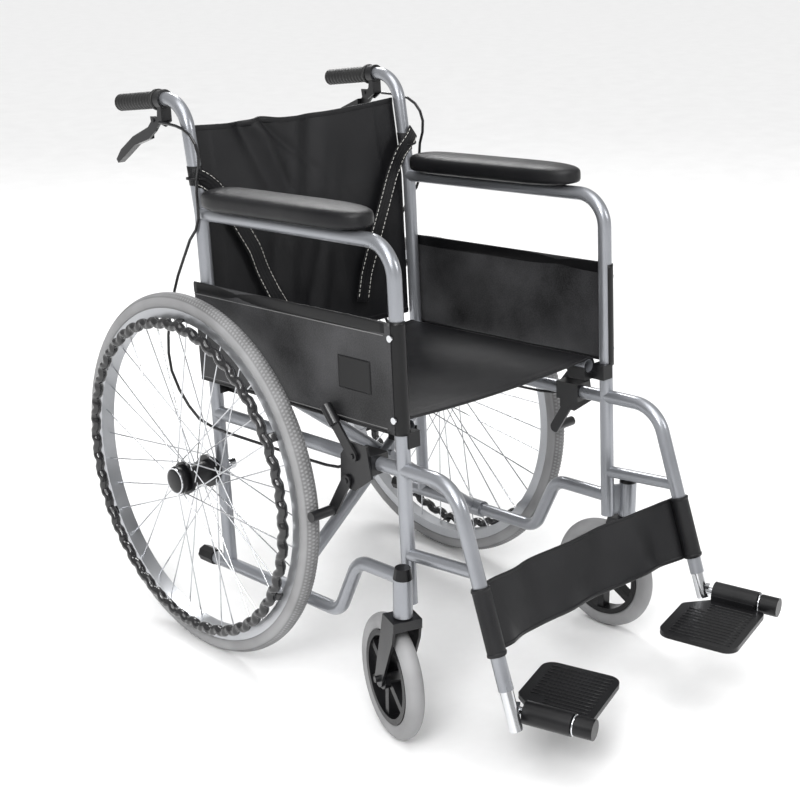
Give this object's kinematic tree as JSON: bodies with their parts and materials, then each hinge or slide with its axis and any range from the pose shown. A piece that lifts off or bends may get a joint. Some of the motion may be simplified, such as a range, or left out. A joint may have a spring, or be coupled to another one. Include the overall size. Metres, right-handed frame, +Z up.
{
  "type": "manual wheelchair",
  "caption": "Folding manual wheelchair with 24 inch rear wheels, handrims, casters, sling seat, padded armrests, footrests, calf strap and brakes.",
  "frame": {"origin": "on the floor, at the middle of the chair's overall length and width", "axes": "+Z up; the user faces -Y; +X is the user's left; the chair is open, with its footplates down"},
  "size_m": [0.65, 1.0941, 0.9157],
  "materials": {
    "frame_paint": "silver paint",
    "chrome": "polished",
    "spoke_steel": "plain",
    "rim_metal": "satin",
    "tyre_grey": "grey solid rubber",
    "handrim_black": "black coated, wavy",
    "black_plastic": "moulded",
    "black_metal": "black powder coat",
    "grip_rubber": "moulded",
    "pad_vinyl": "grained foam skin",
    "sling_fabric": "woven nylon",
    "webbing": "woven webbing",
    "cable_black": "plastic outer"
  },
  "bodies": {
    "frame_right": {"back_post_right": "frame_paint", "arm_tube_right": "frame_paint", "side_rails_right": "frame_paint", "hanger_right": "frame_paint", "plastic_fittings_right": "black_plastic", "push_grip_right": "grip_rubber", "lever_clamp_right": "black_metal", "brake_cable_right": "cable_black", "arm_pad_right": "pad_vinyl", "skirt_panel_right": "sling_fabric", "axle_and_screws_right": "chrome", "brake_bracket_right": "black_metal", "belt_strap_right": "webbing", "calf_strap": "sling_fabric"},
    "frame_left": {"back_post_left": "frame_paint", "arm_tube_left": "frame_paint", "side_rails_left": "frame_paint", "hanger_left": "frame_paint", "plastic_fittings_left": "black_plastic", "push_grip_left": "grip_rubber", "lever_clamp_left": "black_metal", "brake_cable_left": "cable_black", "arm_pad_left": "pad_vinyl", "skirt_panel_left": "sling_fabric", "axle_and_screws_left": "chrome", "brake_bracket_left": "black_metal", "belt_strap_left": "webbing"},
    "brace_a": {"brace_a": "frame_paint"},
    "brace_b": {"brace_b": "frame_paint"},
    "seat_left": {"seat_half_left": "sling_fabric"},
    "seat_right": {"seat_half_right": "sling_fabric"},
    "back_right": {"back_half_right": "sling_fabric"},
    "back_left": {"back_half_left": "sling_fabric"},
    "wheel_right": {"tyre_right": "tyre_grey", "rim_right": "rim_metal", "spokes_right": "spoke_steel", "hub_right": "black_metal", "handrim_right": "handrim_black"},
    "caster_fork_right": {"caster_fork_right": "black_metal"},
    "caster_wheel_right": {"caster_wheel_right": "black_plastic", "caster_tyre_right": "tyre_grey"},
    "brake_lever_right": {"brake_lever_right": "black_metal"},
    "brake_arm_right": {"brake_arm_right": "black_metal"},
    "hand_lever_right": {"hand_lever_right": "black_metal"},
    "footrest_right": {"footrest_tube_right": "chrome"},
    "footplate_right": {"footplate_right": "black_plastic"},
    "wheel_left": {"tyre_left": "tyre_grey", "rim_left": "rim_metal", "spokes_left": "spoke_steel", "hub_left": "black_metal", "handrim_left": "handrim_black"},
    "caster_fork_left": {"caster_fork_left": "black_metal"},
    "caster_wheel_left": {"caster_wheel_left": "black_plastic", "caster_tyre_left": "tyre_grey"},
    "brake_lever_left": {"brake_lever_left": "black_metal"},
    "brake_arm_left": {"brake_arm_left": "black_metal"},
    "hand_lever_left": {"hand_lever_left": "black_metal"},
    "footrest_left": {"footrest_tube_left": "chrome"},
    "footplate_left": {"footplate_left": "black_plastic"}
  },
  "joints": [
    {"name": "fold", "type": "hinge", "parent": "frame_right", "child": "brace_a", "pos_m": [-0.2275, 0.0906, 0.137], "axis": [0, -0.9981, 0.061], "range_deg": [0, 41.6], "deforming": ["calf_strap", "belt_strap_right", "belt_strap_left"]},
    {"name": "fold_pivot", "type": "hinge", "parent": "brace_a", "child": "brace_b", "pos_m": [0, 0.10119, 0.31016], "axis": [0, -0.9981, 0.061], "range_deg": [-83.2, 0]},
    {"name": "fold_left", "type": "hinge", "parent": "brace_b", "child": "frame_left", "pos_m": [0.2275, 0.0906, 0.137], "axis": [0, -0.9981, 0.061], "range_deg": [0, 41.6]},
    {"name": "seat_left_fold", "type": "hinge", "parent": "brace_a", "child": "seat_left", "pos_m": [0.2, 0.1105, 0.46239], "axis": [0, -0.9981, 0.061], "range_deg": [0, 45.76]},
    {"name": "seat_right_fold", "type": "hinge", "parent": "brace_b", "child": "seat_right", "pos_m": [-0.2, 0.1105, 0.46239], "axis": [0, 0.9981, -0.061], "range_deg": [0, 45.76]},
    {"name": "back_right_fold", "type": "hinge", "parent": "frame_right", "child": "back_right", "pos_m": [-0.2275, 0.27487, 0.60262], "axis": [0, 0.061, 0.9981], "range_deg": [0, 76]},
    {"name": "back_left_fold", "type": "hinge", "parent": "frame_left", "child": "back_left", "pos_m": [0.2275, 0.27487, 0.60262], "axis": [0, -0.061, -0.9981], "range_deg": [0, 76]},
    {"name": "wheel_right", "type": "hinge", "parent": "frame_right", "child": "wheel_right", "pos_m": [-0.281, 0.24308, 0.304], "axis": [1, 0, 0], "continuous": true},
    {"name": "caster_swivel_right", "type": "hinge", "parent": "frame_right", "child": "caster_fork_right", "pos_m": [-0.258, -0.22592, 0.245], "axis": [0, 0, 1], "continuous": true},
    {"name": "caster_wheel_right", "type": "hinge", "parent": "caster_fork_right", "child": "caster_wheel_right", "pos_m": [-0.24498, -0.1881, 0.096], "axis": [0.9455, -0.3256, 0], "continuous": true},
    {"name": "parking_brake_right", "type": "hinge", "parent": "frame_right", "child": "brake_lever_right", "pos_m": [-0.2525, -0.11489, 0.43009], "axis": [1, 0, 0], "range_deg": [0, 50]},
    {"name": "brake_shoe_right", "type": "hinge", "parent": "frame_right", "child": "brake_arm_right", "pos_m": [-0.2525, -0.10049, 0.38713], "axis": [1, 0, 0], "range_deg": [-15, 0]},
    {"name": "hand_brake_right", "type": "hinge", "parent": "frame_right", "child": "hand_lever_right", "pos_m": [-0.2275, 0.37457, 0.86502], "axis": [1, 0, 0], "range_deg": [0, 12], "stiffness_Nm_per_rad": 1.2},
    {"name": "footrest_length_right", "type": "slide", "parent": "frame_right", "child": "footrest_right", "axis": [0, -0.3502, -0.9367], "range_m": [-0.03, 0.04]},
    {"name": "footplate_flip_right", "type": "hinge", "parent": "footrest_right", "child": "footplate_right", "pos_m": [-0.199, -0.40687, 0.112], "axis": [0.3256, -0.9455, 0], "range_deg": [0, 87.36]},
    {"name": "wheel_left", "type": "hinge", "parent": "frame_left", "child": "wheel_left", "pos_m": [0.281, 0.24308, 0.304], "axis": [1, 0, 0], "continuous": true},
    {"name": "caster_swivel_left", "type": "hinge", "parent": "frame_left", "child": "caster_fork_left", "pos_m": [0.258, -0.22592, 0.245], "axis": [0, 0, 1], "continuous": true},
    {"name": "caster_wheel_left", "type": "hinge", "parent": "caster_fork_left", "child": "caster_wheel_left", "pos_m": [0.25591, -0.18598, 0.096], "axis": [0.9986, 0.0523, 0], "continuous": true},
    {"name": "parking_brake_left", "type": "hinge", "parent": "frame_left", "child": "brake_lever_left", "pos_m": [0.2525, -0.11489, 0.43009], "axis": [1, 0, 0], "range_deg": [0, 50]},
    {"name": "brake_shoe_left", "type": "hinge", "parent": "frame_left", "child": "brake_arm_left", "pos_m": [0.2525, -0.10049, 0.38713], "axis": [1, 0, 0], "range_deg": [-15, 0]},
    {"name": "hand_brake_left", "type": "hinge", "parent": "frame_left", "child": "hand_lever_left", "pos_m": [0.2275, 0.37457, 0.86502], "axis": [1, 0, 0], "range_deg": [0, 12], "stiffness_Nm_per_rad": 1.2},
    {"name": "footrest_length_left", "type": "slide", "parent": "frame_left", "child": "footrest_left", "axis": [0, -0.3502, -0.9367], "range_m": [-0.01, 0.04]},
    {"name": "footplate_flip_left", "type": "hinge", "parent": "footrest_left", "child": "footplate_left", "pos_m": [0.2325, -0.41891, 0.152], "axis": [-0.2588, 0.9659, 0], "range_deg": [0, 87.36]}
  ],
  "couplings": [
    {"joint": "fold_pivot", "follows": "fold", "ratio": -2},
    {"joint": "fold_left", "follows": "fold", "ratio": 1},
    {"joint": "seat_left_fold", "follows": "fold", "ratio": 1.1},
    {"joint": "seat_right_fold", "follows": "fold", "ratio": 1.1},
    {"joint": "back_right_fold", "follows": "fold", "ratio": 1.827},
    {"joint": "back_left_fold", "follows": "fold", "ratio": 1.827},
    {"joint": "brake_shoe_right", "follows": "parking_brake_right", "ratio": -0.3},
    {"joint": "footplate_flip_right", "follows": "fold", "ratio": 2.1},
    {"joint": "brake_shoe_left", "follows": "parking_brake_left", "ratio": -0.3},
    {"joint": "footplate_flip_left", "follows": "fold", "ratio": 2.1}
  ]
}
